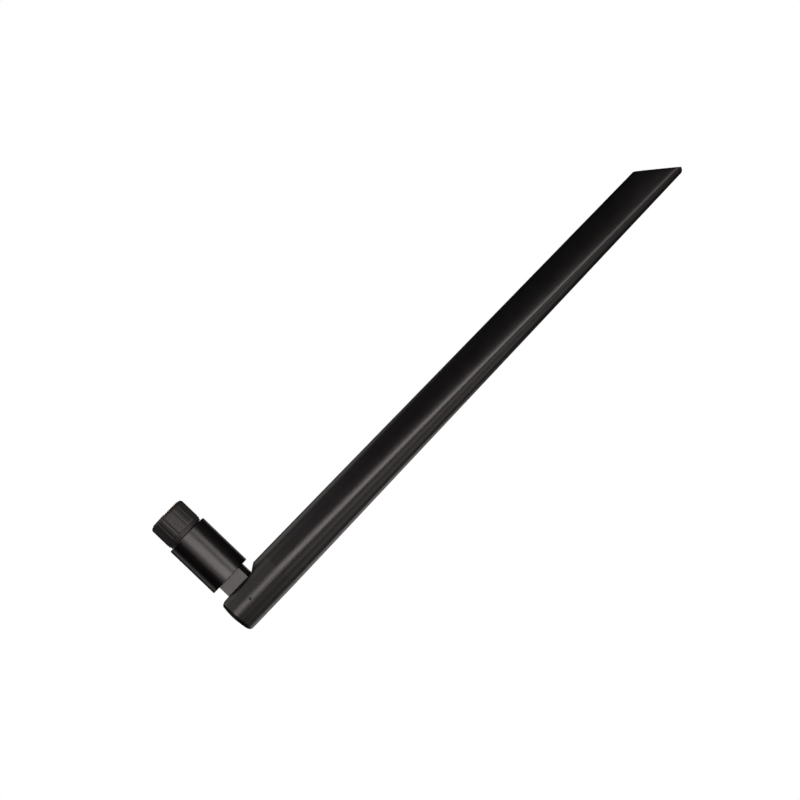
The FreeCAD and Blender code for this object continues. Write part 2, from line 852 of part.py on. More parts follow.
def blade_core(label, gap=0):
    """The hollow of the blade above its seat; a gap makes a smaller copy."""
    wall = size("shell_wall") + gap
    return paddle(
        label,
        round_section(size("yoke_radius") - wall, size("foot_ridge"), 20), seat_end - 0.2,
        section(-size("tip_left") + wall, size("tip_right") - wall,
                size("tip_ridge") - wall / 2, size("tip_half_depth") - wall + 0.1,
                size("edge_half_depth") - 0.3 - gap), wall * 2)


def radome_shell():
    """Hollow blade: its outer form less the core and the seat for the spigot."""
    outer = paddle(
        "blade_form",
        round_section(size("yoke_radius"), size("foot_ridge"), 20), size("yoke_top"),
        section(-size("tip_left"), size("tip_right"), size("tip_ridge"),
                size("tip_half_depth"), size("edge_half_depth")), 0)
    seat = doc.addObject("Part::Cylinder", "blade_seat")
    bind(seat, "Radius", seat_radius)
    bind(seat, "Height", seat_end - size("yoke_top") + 1)
    bind(seat, "Placement.Base.x", size("pivot_distance"))
    bind(seat, "Placement.Base.z", size("yoke_top") - 1)
    hollow = doc.addObject("Part::MultiFuse", "blade_hollow")
    hollow.Shapes = [blade_core("blade_core"), seat]
    shell = doc.addObject("Part::Cut", "radome_shell")
    shell.Base = outer
    shell.Tool = hollow
    return finish(shell)


radome_shell()


# ---------------------------------------------------------------- radiator

board_end = size("blade_top") - size("tip_rise") - size("board_top_gap")
board_left = size("board_shift") - size("board_width") / 2
board_right = size("board_shift") + size("board_width") / 2
notch_half = size("notch_width") / 2
notch_end = size("board_start") + size("notch_depth")
copper_face = size("board_thickness") / 2 + size("snug_gap")
strip_gap = 0.2
braid_start = notch_end - 6
core_start = notch_end - 1.6


def dipole_board():
    """FR-4 board, slotted so that the cable lies in its middle plane."""
    body = new_body("dipole_board", hinge_frame=True)
    outline = [
        (board_left, size("board_start")),
        (-notch_half, size("board_start")),
        (-notch_half, notch_end),
        (notch_half, notch_end),
        (notch_half, size("board_start")),
        (board_right, size("board_start")),
        (board_right, board_end),
        (board_left, board_end),
    ]
    sketch = draw(body, "XZ_Plane", outline)
    extrude(body, "Pad", sketch, size("board_thickness"), both_ways=True)
    return finish(body)


def serpentine(left, right, base, count):
    """Outline of level bars one above the other, joined at alternate ends."""
    bar = size("meander_bar")
    pitch = size("meander_pitch")
    rising = [(right, base)]
    falling = [(left, base)]
    for turn in range(count - 1):
        low = base + pitch * turn + bar
        high = base + pitch * (turn + 1)
        if turn % 2:
            rising += [(right, low), (left + bar, low), (left + bar, high), (right, high)]
        else:
            falling += [(left, low), (right - bar, low), (right - bar, high), (left, high)]
    top = base + pitch * (count - 1) + bar
    return rising + [(right, top), (left, top)] + falling[::-1]


def copper_layer(label, *outlines):
    """Copper areas on the board's front face; outlines that overlap become one."""
    body = new_body(label, hinge_frame=True)
    body.AllowCompound = True
    for outline in outlines:
        sketch = draw(body, "XZ_Plane", outline, lift=copper_face)
        extrude(body, "Pad", sketch, size("copper"))
        doc.recompute()
    return finish(body)


def ground_copper():
    """Lower dipole arms, one on each leg of the board, up to the braid's solder."""
    start = notch_end - 1 - size("long_arm")
    left = rectangle(board_left + strip_gap, -notch_half - strip_gap, start, notch_end - 1)
    right = rectangle(notch_half + strip_gap, board_right - strip_gap, start, notch_end - 1)
    return copper_layer("ground_copper", left, right)


def radiator_copper():
    """Upper dipole: a long and two short arms, then a phasing meander and a second arm."""
    middle = size("board_shift")
    half = size("strip_width") / 2
    overlap = 0.1
    feed = notch_end + 0.3
    arm_start = feed + 1 - overlap
    left = board_left + strip_gap
    right = board_right - strip_gap
    feed_bar = rectangle(left, right, feed, feed + 1)
    long_end = feed + size("long_arm")
    long_arm = rectangle(middle - half, middle + half, arm_start, long_end)
    short_end = feed + size("short_arm")
    short_left = rectangle(left, left + 2 * half, arm_start, short_end)
    short_right = rectangle(right - 2 * half, right, arm_start, short_end)
    meander = serpentine(left, right, long_end - overlap, round(sheet.get("meander_bars")))
    meander_end = meander[len(meander) // 2][1]
    second_arm = rectangle(middle - 2 * half, middle + 2 * half, meander_end - overlap,
                           board_end - 4 * strip_gap)
    return copper_layer("radiator_copper", feed_bar, long_arm, short_left, short_right,
                        meander, second_arm)


def solder_joints():
    """Two beads hold the braid to the ground arms; one joins the wire to the feed."""
    face = -copper_face - size("copper") - size("snug_gap")
    bead_radius = 0.42
    beads = []
    places = {
        "left_bead": (-notch_half - 0.5, notch_end - 1.8),
        "right_bead": (notch_half + 0.5, notch_end - 1.8),
        "feed_bead": (0.1, notch_end + 0.75),
    }
    for name, (across, height) in places.items():
        bead = doc.addObject("Part::Sphere", name)
        bind(bead, "Radius", bead_radius)
        bead.Angle1 = 0
        bead.Placement.Rotation = FreeCAD.Rotation(FreeCAD.Vector(1, 0, 0), 90)
        bind(bead, "Placement.Base.x", size("pivot_distance") + across)
        bind(bead, "Placement.Base.y", face)
        bind(bead, "Placement.Base.z", height)
        beads.append(bead)
    return group("solder_joints", beads)


def foam_pads():
    """Pairs of foam blocks, shaped by the shell, that keep the board from rattling."""
    filling = blade_core("foam_core", size("snug_gap") * 2)
    near = copper_face + size("copper") + size("snug_gap")
    far = size("yoke_radius")
    blocks = []
    for index, height in enumerate((size("low_pad_height"), board_end - size("high_pad_drop"))):
        top = height + size("pad_length")
        left = size("board_shift") - size("pad_width") / 2
        right = size("board_shift") + size("pad_width") / 2
        blocks.append(box(f"front_pad_{index}", (left, -far, height), (right, -near, top)))
        blocks.append(box(f"rear_pad_{index}", (left, near, height), (right, far, top)))
    blanks = doc.addObject("Part::MultiFuse", "pad_blanks")
    blanks.Shapes = blocks
    pads = doc.addObject("Part::Common", "foam_pads")
    pads.Base = blanks
    pads.Tool = filling
    return finish(pads)


dipole_board()
ground_copper()
radiator_copper()
solder_joints()
foam_pads()

upright_tube("coax_jacket_blade", size("bend_radius") + size("snug_gap"), braid_start,
             size("dielectric_radius") + size("snug_gap"), size("jacket_radius"))
upright_tube("coax_braid_blade", braid_start + size("snug_gap"), core_start,
             size("dielectric_radius") + size("snug_gap"), size("braid_radius"))
upright_tube("coax_core_blade", size("bend_radius") + size("snug_gap"), notch_end - 0.8,
             size("wire_radius"), size("dielectric_radius"))
upright_tube("coax_wire_blade", size("bend_radius") + size("snug_gap"),
             notch_end - size("snug_gap"), 0, size("wire_radius"))


# ---------------------------------------------------------------- check and write

def check_document():
    """Stop if any object failed or any sub-part is not sound."""
    doc.recompute()
    for item in doc.Objects:
        if "Invalid" in item.State or "Error" in item.State:
            raise RuntimeError(f"{item.Label} failed: {item.State}")
    for node in nodes:
        if node.Shape.isNull() or not node.Shape.isValid() or not node.Shape.Solids:
            raise RuntimeError(f"{node.Label} has no sound solid")


def write_parts():
    for node in nodes:
        node.Shape.exportStep(f"parts/{node.Label}.step")
        print(f"{node.Label:20s} {len(node.Shape.Solids)} solid  {node.Shape.Volume:9.2f} mm3")


check_document()
write_parts()
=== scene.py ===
import json
import math

import bmesh
import bpy
import numpy as np
from mathutils import Matrix, Vector


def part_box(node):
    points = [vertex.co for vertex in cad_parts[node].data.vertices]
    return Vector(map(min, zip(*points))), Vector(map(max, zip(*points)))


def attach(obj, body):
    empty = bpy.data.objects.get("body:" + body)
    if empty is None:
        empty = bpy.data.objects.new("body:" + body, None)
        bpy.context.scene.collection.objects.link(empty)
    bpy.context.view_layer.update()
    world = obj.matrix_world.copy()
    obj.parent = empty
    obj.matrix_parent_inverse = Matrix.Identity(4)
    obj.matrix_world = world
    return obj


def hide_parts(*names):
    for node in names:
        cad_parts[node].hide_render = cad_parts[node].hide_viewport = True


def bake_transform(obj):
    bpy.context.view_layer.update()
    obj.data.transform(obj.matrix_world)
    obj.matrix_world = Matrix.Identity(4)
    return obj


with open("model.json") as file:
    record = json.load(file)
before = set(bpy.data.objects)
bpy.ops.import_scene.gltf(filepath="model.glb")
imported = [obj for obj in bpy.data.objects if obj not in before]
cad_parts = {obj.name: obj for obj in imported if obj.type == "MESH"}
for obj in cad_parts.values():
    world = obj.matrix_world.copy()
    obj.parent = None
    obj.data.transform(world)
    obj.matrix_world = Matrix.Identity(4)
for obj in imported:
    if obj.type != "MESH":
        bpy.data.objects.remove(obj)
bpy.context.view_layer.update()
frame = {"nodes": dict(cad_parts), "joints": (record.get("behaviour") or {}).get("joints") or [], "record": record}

MM = 0.001
scene = bpy.context.scene


# ---------------------------------------------------------------- places from the frame

pivot = Vector(next(j for j in frame["joints"] if j["name"] == "tilt")["pos_m"])
shell_low, shell_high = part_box("radome_shell")
grip_low, grip_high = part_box("knurled_grip")
nut_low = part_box("coupling_nut")[0]
thread_mount = frame["record"]["mounts"][0]


# ---------------------------------------------------------------- camera

VIEW_CENTRE = Vector((21.3, 0, 57.3)) * MM
CAMERA_DISTANCE = 550 * MM
FRAME_WIDTH = 187.3 * MM  # seen across the picture at the view centre
BLADE_RISE = math.radians(46.3)  # the blade's slope in the picture
SENSOR_WIDTH = 36
CLIP_START, CLIP_END = 0.01, 50


def add_camera():
    """Looks along +Y, rolled so that the blade leans up to the right."""
    data = bpy.data.cameras.new("camera")
    data.sensor_width = SENSOR_WIDTH
    data.lens = data.sensor_width * CAMERA_DISTANCE / FRAME_WIDTH
    camera = bpy.data.objects.new("camera", data)
    scene.collection.objects.link(camera)
    right = Vector((math.sin(BLADE_RISE), 0, math.cos(BLADE_RISE)))
    up = Vector((-math.cos(BLADE_RISE), 0, math.sin(BLADE_RISE)))
    back = Vector((0, -1, 0))
    turn = Matrix((right, up, back)).transposed().to_4x4()
    camera.matrix_world = Matrix.Translation(VIEW_CENTRE + back * CAMERA_DISTANCE) @ turn
    data.clip_start, data.clip_end = CLIP_START, CLIP_END
    scene.camera = camera


# ---------------------------------------------------------------- node helpers

class Graph:
    """A material's node tree, with short calls for the nodes used here."""

    def __init__(self, name):
        self.material = bpy.data.materials.new(name)
        self.material.use_nodes = True
        self.tree = self.material.node_tree
        self.shader = self.tree.nodes["Principled BSDF"]
        self.place = self.tree.nodes.new("ShaderNodeTexCoord").outputs["Object"]

    def node(self, kind, **values):
        node = self.tree.nodes.new(kind)
        for key, value in values.items():
            setattr(node, key, value)
        return node

    def link(self, source, target):
        self.tree.links.new(source, target)

    def stretch(self, scale):
        """Object coordinates stretched along the three axes."""
        mapping = self.node("ShaderNodeMapping")
        self.link(self.place, mapping.inputs["Vector"])
        mapping.inputs["Scale"].default_value = scale
        return mapping.outputs["Vector"]

    def noise(self, scale, detail=4, roughness=0.55, place=None):
        noise = self.node("ShaderNodeTexNoise")
        self.link(place or self.place, noise.inputs["Vector"])
        noise.inputs["Scale"].default_value = scale
        noise.inputs["Detail"].default_value = detail
        noise.inputs["Roughness"].default_value = roughness
        return noise.outputs["Fac"]

    def fit(self, source, low, high, from_low=0.3, from_high=0.7):
        """A value moved from one range to another."""
        span = self.node("ShaderNodeMapRange")
        self.link(source, span.inputs["Value"])
        span.inputs["From Min"].default_value = from_low
        span.inputs["From Max"].default_value = from_high
        span.inputs["To Min"].default_value = low
        span.inputs["To Max"].default_value = high
        return span.outputs["Result"]

    def math(self, operation, first, second):
        """One sum or product of two sockets or numbers."""
        node = self.node("ShaderNodeMath", operation=operation)
        for socket, value in zip(node.inputs, (first, second)):
            if isinstance(value, (int, float)):
                socket.default_value = value
            else:
                self.link(value, socket)
        return node.outputs["Value"]

    def mix(self, factor, first, second):
        """A colour between two, each a tuple or a socket."""
        node = self.node("ShaderNodeMix", data_type="RGBA")
        self.link(factor, node.inputs["Factor"])
        for socket, value in zip((node.inputs["A"], node.inputs["B"]), (first, second)):
            if isinstance(value, tuple):
                socket.default_value = (*value, 1)
            else:
                self.link(value, socket)
        return node.outputs["Result"]

    def bump(self, height, strength, distance):
        bump = self.node("ShaderNodeBump")
        bump.inputs["Strength"].default_value = strength
        bump.inputs["Distance"].default_value = distance
        self.link(height, bump.inputs["Height"])
        self.link(bump.outputs["Normal"], self.shader.inputs["Normal"])

    def set(self, **values):
        """Constants straight on the shader's sockets."""
        for name, value in values.items():
            socket = self.shader.inputs[name.replace("_", " ")]
            socket.default_value = value

    def feed(self, name, source):
        self.link(source, self.shader.inputs[name])


# ---------------------------------------------------------------- materials

# Textures are scaled in waves to the metre, and bumps in metres.
MOTTLING_SCALE = 180
MOTTLING_GLOSS = 0.012
STREAK_SCALE = 900
STREAK_STRETCH = (1, 1, 0.12)
STREAK_GLOSS = 0.004
HANDLING_SCALE = 2600
GRAIN_SCALE = 9000
GRAIN_SHARE = 0.7
GRAIN_HEIGHT = 0.03 * MM
PLASTIC_IOR = 1.5


def black_plastic(name, colour, roughness, grain):
    """Moulded black plastic: spark-eroded grain, flow mottling, streaks and handling marks."""
    graph = Graph(name)
    mottling = graph.noise(MOTTLING_SCALE, 3)
    handling = graph.noise(HANDLING_SCALE, 5, 0.7)
    light = tuple(part * 1.4 + 0.0006 for part in colour)
    graph.feed("Base Color", graph.mix(graph.fit(mottling, 0, 1), colour, light))
    streaks = graph.noise(STREAK_SCALE, 3, place=graph.stretch(STREAK_STRETCH))
    uneven = graph.fit(mottling, roughness - MOTTLING_GLOSS, roughness + MOTTLING_GLOSS)
    streaky = graph.fit(streaks, -STREAK_GLOSS, STREAK_GLOSS)
    graph.feed("Roughness", graph.math("ADD", uneven, streaky))
    fine = graph.noise(GRAIN_SCALE, 2, 0.6)
    height = graph.math("ADD", graph.math("MULTIPLY", fine, GRAIN_SHARE),
                        graph.math("MULTIPLY", handling, 1 - GRAIN_SHARE))
    graph.bump(height, grain, GRAIN_HEIGHT)
    graph.set(IOR=PLASTIC_IOR)
    return graph.material


TARNISH_SCALE = 350
TARNISH_SHADE = 0.82
TOOL_MARK_SCALE = 260
TURNED_STRETCH = (60, 1, 1)  # marks run round the connector's axis
TOOL_MARK_HEIGHT = 0.02 * MM


def metal(name, colour, roughness, turned=False):
    """Plated or turned metal: fine tool marks, faint tarnish."""
    graph = Graph(name)
    tarnish = graph.noise(TARNISH_SCALE, 4)
    dark = tuple(part * TARNISH_SHADE for part in colour)
    graph.feed("Base Color", graph.mix(graph.fit(tarnish, 0, 1), dark, colour))
    place = graph.stretch(TURNED_STRETCH if turned else (1, 1, 1))
    marks = graph.noise(TOOL_MARK_SCALE, 3, 0.65, place=place)
    graph.feed("Roughness", graph.fit(marks, roughness - 0.05, roughness + 0.09))
    graph.bump(marks, 0.25, TOOL_MARK_HEIGHT)
    graph.set(Metallic=1.0)
    return graph.material


CLOUD_SCALE = 500
WAXY_GRAIN_SCALE = 4000
WAXY_GRAIN_HEIGHT = 0.02 * MM
LIGHT_DEPTH = 0.5 * MM


def waxy_plastic(name, colour, roughness, translucence):
    """PTFE and silicone: soft and faintly cloudy, with some light passing in where asked."""
    graph = Graph(name)
    cloud = graph.noise(CLOUD_SCALE, 4)
    pale = tuple(min(1, part * 1.08) for part in colour)
    graph.feed("Base Color", graph.mix(graph.fit(cloud, 0, 1), colour, pale))
    graph.feed("Roughness", graph.fit(cloud, roughness - 0.05, roughness + 0.07))
    graph.bump(graph.noise(WAXY_GRAIN_SCALE, 3), 0.15, WAXY_GRAIN_HEIGHT)
    graph.set(Subsurface_Weight=translucence, Subsurface_Scale=LIGHT_DEPTH)
    return graph.material


WEAVE_SCALE = 900
WEAVE_HEIGHT = 0.03 * MM
MASK_DARK = (0.012, 0.075, 0.03)
MASK_LIGHT = (0.025, 0.13, 0.055)


def circuit_board(name):
    """Solder-masked glass-epoxy with the weave just showing."""
    graph = Graph(name)
    warp = graph.node("ShaderNodeTexWave", wave_type="BANDS", bands_direction="X")
    weft = graph.node("ShaderNodeTexWave", wave_type="BANDS", bands_direction="Z")
    for wave in (warp, weft):
        graph.link(graph.place, wave.inputs["Vector"])
        wave.inputs["Scale"].default_value = WEAVE_SCALE
        wave.inputs["Distortion"].default_value = 0.4
    weave = graph.math("MULTIPLY", warp.outputs["Fac"], weft.outputs["Fac"])
    graph.feed("Base Color", graph.mix(graph.fit(weave, 0, 1, 0, 1), MASK_DARK, MASK_LIGHT))
    graph.feed("Roughness", graph.fit(graph.noise(700), 0.22, 0.36))
    graph.bump(weave, 0.2, WEAVE_HEIGHT)
    return graph.material


FOAM_CELL_SCALE = 2600
FOAM_PIT_DEPTH = 0.2 * MM
FOAM_STRUT = (0.09, 0.09, 0.095)
# Colour painted into the pits' floors as shade.
FOAM_PIT_PAINTED_SHADE = (0.02, 0.02, 0.02)


def foam(name):
    """Open-cell foam: paler struts, with the pits between them painted dark as shade."""
    graph = Graph(name)
    cells = graph.node("ShaderNodeTexVoronoi", feature="DISTANCE_TO_EDGE")
    graph.link(graph.place, cells.inputs["Vector"])
    cells.inputs["Scale"].default_value = FOAM_CELL_SCALE
    depth = graph.fit(cells.outputs["Distance"], 0, 1, 0, 0.3)
    # Painted shade: colour goes darker towards the middle of each cell, following the pit depth.
    graph.feed("Base Color", graph.mix(depth, FOAM_STRUT, FOAM_PIT_PAINTED_SHADE))
    graph.feed("Roughness", graph.fit(graph.noise(900), 0.85, 1.0))
    graph.bump(depth, 0.8, -FOAM_PIT_DEPTH)
    return graph.material


BRAID_SCALE = 1100
BRAID_HEIGHT = 0.1 * MM
BRAID_GAP_PAINTED_SHADE = 0.35


def braided(name, colour):
    """Tinned wires crossing in a fine braid, with painted shade in the gaps between them."""
    graph = Graph(name)
    left = graph.node("ShaderNodeTexWave", wave_type="BANDS", bands_direction="DIAGONAL")
    right = graph.node("ShaderNodeTexWave", wave_type="BANDS", bands_direction="DIAGONAL")
    graph.link(graph.place, left.inputs["Vector"])
    graph.link(graph.stretch((-1, 1, 1)), right.inputs["Vector"])
    for wave in (left, right):
        wave.inputs["Scale"].default_value = BRAID_SCALE
    height = graph.math("MAXIMUM", left.outputs["Fac"], right.outputs["Fac"])
    # Painted shade: the low gaps between the wires are coloured darker.
    dark = tuple(part * BRAID_GAP_PAINTED_SHADE for part in colour)
    graph.feed("Base Color", graph.mix(graph.fit(height, 0, 1, 0.3, 0.9), dark, colour))
    graph.feed("Roughness", graph.fit(graph.noise(1200), 0.3, 0.45))
    graph.bump(height, 0.6, BRAID_HEIGHT)
    graph.set(Metallic=1.0)
    return graph.material


BLADE_BLACK = (0.0016, 0.0015, 0.0015)
HINGE_BLACK = (0.0024, 0.0023, 0.0022)
COLLAR_BLACK = (0.002, 0.0019, 0.0018)
GRIP_BLACK = (0.0105, 0.0102, 0.01)
NICKEL = (0.62, 0.59, 0.54)
GOLD = (0.83, 0.6, 0.24)
STEEL = (0.52, 0.52, 0.53)
BLACK_STEEL = (0.02, 0.02, 0.021)
COPPER = (0.78, 0.4, 0.24)
TIN = (0.66, 0.65, 0.62)
TINNED_WIRE = (0.8, 0.78, 0.72)
WASHER_BLACK = (0.02, 0.02, 0.02)
JACKET_BLACK = (0.014, 0.014, 0.014)
PTFE_WHITE = (0.82, 0.82, 0.79)
SILICONE_RED = (0.42, 0.07, 0.04)

MATERIALS = {
    "blade_plastic": lambda name: black_plastic(name, BLADE_BLACK, 0.31, 0.05),
    "hinge_plastic": lambda name: black_plastic(name, HINGE_BLACK, 0.34, 0.05),
    "collar_plastic": lambda name: black_plastic(name, COLLAR_BLACK, 0.29, 0.05),
    "grip_plastic": lambda name: black_plastic(name, GRIP_BLACK, 0.5, 0.08),
    "pin_steel": lambda name: metal(name, BLACK_STEEL, 0.4),
    "spring_steel": lambda name: metal(name, STEEL, 0.35, turned=True),
    "washer_nylon": lambda name: black_plastic(name, WASHER_BLACK, 0.5, 0.1),
    "nut_plating": lambda name: metal(name, NICKEL, 0.24, turned=True),
    "gold_plating": lambda name: metal(name, GOLD, 0.22, turned=True),
    "ptfe": lambda name: waxy_plastic(name, PTFE_WHITE, 0.4, 0.4),
    "silicone": lambda name: waxy_plastic(name, SILICONE_RED, 0.55, 0.0),
    "fr4": circuit_board,
    "copper_foil": lambda name: metal(name, COPPER, 0.28),
    "solder": lambda name: metal(name, TIN, 0.2),
    "foam": foam,
    "coax_jacket": lambda name: black_plastic(name, JACKET_BLACK, 0.33, 0.2),
    "braid": lambda name: braided(name, TIN),
    "wire": lambda name: metal(name, TINNED_WIRE, 0.22),
}
made_materials = {}


def material_for(slot):
    """The slot's material, made the first time it is asked for."""
    if slot not in made_materials:
        made_materials[slot] = MATERIALS[slot](slot)
    return made_materials[slot]


def dress(piece, slot):
    """Give a piece the one material of its slot."""
    piece.data.materials.clear()
    piece.data.materials.append(material_for(slot))


# ---------------------------------------------------------------- mesh helpers

def mesh_piece(name, points, faces, slot, smooth=True):
    """A new visual piece with its normals outwards and the material of its slot."""
    mesh = bpy.data.meshes.new(name)
    mesh.from_pydata([tuple(point) for point in points], [], faces)
    mesh.validate()
    work = bmesh.new()
    work.from_mesh(mesh)
    bmesh.ops.recalc_face_normals(work, faces=work.faces)
    work.to_mesh(mesh)
    work.free()
    if smooth:
        mesh.shade_smooth()
    piece = bpy.data.objects.new(name, mesh)
    scene.collection.objects.link(piece)
    dress(piece, slot)
    return piece


def ring_faces(first, second, count):
    """Quads between two closed rings of points, by their first numbers."""
    return [
        (first + step, first + (step + 1) % count, second + (step + 1) % count, second + step)
        for step in range(count)
    ]


# ---------------------------------------------------------------- blade shell

# The blade's section runs, in a ruled form, from a round foot to a drop shape just above
# the tip: thick round edge on the right (+X), flat cheeks and a thin edge on the left.
# These are in millimetres from the blade's axis and the hinge.
TIP_LEFT = 4.17
TIP_RIGHT = 4.2
TIP_RIDGE = 2.95
TIP_HALF_DEPTH = 2.2
TIP_EDGE_HALF_DEPTH = 0.7
TIP_EDGE_INSET = 0.9  # of its half depth
FOOT_RIDGE = 0.46
FOOT_LEAN = 20  # degrees
SHELL_WALL = 1.2
CHEEK_BULGE = 0.06
RIDGE_SOFTNESS = 0.42
TOP_MARGIN = 2.0  # the form goes on past the cut
TOP_PEAK = 3.2
TIP_RISE = 8.4
TIP_FALL = 0.6
SEAT_LENGTH = 6.8  # bore that holds the yoke's spigot
TOP_ROUNDING = 0.28
PEAK_SOFTNESS = 0.14
ROUNDING_LEANS = (18, 36, 54, 72, 90)  # degrees

RING = 192  # lines round the blade
FINE_RING = 8 * RING  # while the corners are softened
ARC_POINTS = 160
FORM_ROWS = 60
SKIN_SHARES = (*np.linspace(0, 0.985, 70), 0.993, 1.0)  # of the way up, closer near the top
BORE_SHARES = np.linspace(0, 1, 24)
CUT_ROUNDS = 12


def arc(start, middle, end, count):
    """Places along the circle through three places."""
    (ax, ay), (bx, by), (cx, cy) = start, middle, end
    d = 2 * (ax * (by - cy) + bx * (cy - ay) + cx * (ay - by))
    a2, b2, c2 = ax * ax + ay * ay, bx * bx + by * by, cx * cx + cy * cy
    ux = (a2 * (by - cy) + b2 * (cy - ay) + c2 * (ay - by)) / d
    uy = (a2 * (cx - bx) + b2 * (ax - cx) + c2 * (bx - ax)) / d
    radius = math.hypot(ax - ux, ay - uy)
    angles = np.unwrap([math.atan2(y - uy, x - ux) for x, y in (start, middle, end)])
    turn = np.linspace(angles[0], angles[2], count, endpoint=False)
    return np.stack([ux + radius * np.cos(turn), uy + radius * np.sin(turn)], axis=1)


def section_outline(corners):
    """Four arcs through eight corners, each arc with the same number of places."""
    pieces = []
    for index in range(0, 8, 2):
        ends = corners[index], corners[index + 1], corners[(index + 2) % 8]
        pieces.append(arc(*ends, ARC_POINTS))
    return np.concatenate(pieces)


def drop_section(left, right, ridge, depth, edge_depth):
    """The tip's section: thick on the right, with cheeks that fall to a thin left edge."""
    middle = (ridge + left) / 2
    middle_depth = (depth + edge_depth) / 2 + CHEEK_BULGE
    inset = edge_depth * TIP_EDGE_INSET
    return section_outline([
        (left + inset, -edge_depth), (middle, -middle_depth), (ridge, -depth), (right, 0),
        (ridge, depth), (middle, middle_depth), (left + inset, edge_depth), (left, 0),
    ])


def foot_section(radius):
    """A circle, divided where the drop's arcs will start."""
    lean = math.radians(FOOT_LEAN)
    depth = math.sqrt(radius ** 2 - FOOT_RIDGE ** 2)
    left, edge = -radius * math.cos(lean), radius * math.sin(lean)
    turn = lean / 2 + math.radians(45)
    middle = radius * -math.cos(turn), radius * math.sin(turn)
    return section_outline([
        (left, -edge), (middle[0], -middle[1]), (FOOT_RIDGE, -depth), (radius, 0),
        (FOOT_RIDGE, depth), middle, (left, edge), (-radius, 0),
    ])


def even_ring(outline, softness):
    """RING places evenly along the outline from its left end, corners softened."""
    start = int(np.argmin(outline[:, 0]))
    outline = np.roll(outline, -start, axis=0)
    closed = np.vstack([outline, outline[:1]])
    travelled = np.r_[0, np.cumsum(np.hypot(*np.diff(closed, axis=0).T))]
    fine = np.linspace(0, travelled[-1], FINE_RING, endpoint=False)
    dense = np.stack([np.interp(fine, travelled, closed[:, axis]) for axis in (0, 1)], axis=1)
    if softness > 0:
        waves = np.fft.fftfreq(FINE_RING, d=travelled[-1] / FINE_RING)
        damping = np.exp(-2 * (np.pi * waves * softness) ** 2)
        dense = np.fft.ifft(np.fft.fft(dense, axis=0) * damping[:, None], axis=0).real
    return dense[:: FINE_RING // RING]


def top_height(x):
    """Height of the oblique top over a place across the blade, its peak rounded off."""
    top = (shell_high.z - pivot.z) / MM + PEAK_SOFTNESS * math.log(2)
    rising = top - TIP_RISE / (TOP_PEAK + TIP_LEFT) * (TOP_PEAK - x)
    falling = top - TIP_FALL / (TIP_RIGHT - TOP_PEAK) * (x - TOP_PEAK)
    return -PEAK_SOFTNESS * np.logaddexp(-rising / PEAK_SOFTNESS, -falling / PEAK_SOFTNESS)


class BladeForm:
    """The blade's ruled form: where each of its RING lines is at any height."""

    def __init__(self, foot, tip, foot_height, tip_height, softness):
        self.heights = np.linspace(foot_height, tip_height, FORM_ROWS)
        share = (self.heights - foot_height) / (tip_height - foot_height)
        soft = softness * np.minimum(1, share * 3)
        self.rings = np.stack([
            even_ring(foot * (1 - part) + tip * part, extent)
            for part, extent in zip(share, soft)
        ])

    def at(self, heights):
        """One place on each line, at its own height."""
        lines = range(RING)
        x = [np.interp(heights[i], self.heights, self.rings[:, i, 0]) for i in lines]
        y = [np.interp(heights[i], self.heights, self.rings[:, i, 1]) for i in lines]
        return np.stack([x, y, heights], axis=1)

    def cut_heights(self, drop):
        """Where each line meets the oblique top, lowered by drop."""
        heights = np.full(RING, top_height(TOP_PEAK) - drop)
        for _ in range(CUT_ROUNDS):
            heights = top_height(self.at(heights)[:, 0]) - drop
        return heights

    def rounded_edge(self, lean):
        """One ring of the rounding between the skin and the oblique top."""
        ring = self.at(self.cut_heights(TOP_ROUNDING * (1 - math.sin(lean))))
        along = np.roll(ring, -1, axis=0)[:, :2] - np.roll(ring, 1, axis=0)[:, :2]
        along /= np.hypot(*along.T)[:, None]
        inwards = np.stack([-along[:, 1], along[:, 0]], axis=1)
        inset = TOP_ROUNDING * (1 - math.cos(lean))
        before = top_height(ring[:, 0])
        ring[:, :2] += inwards * inset
        ring[:, 2] += top_height(ring[:, 0]) - before
        return ring


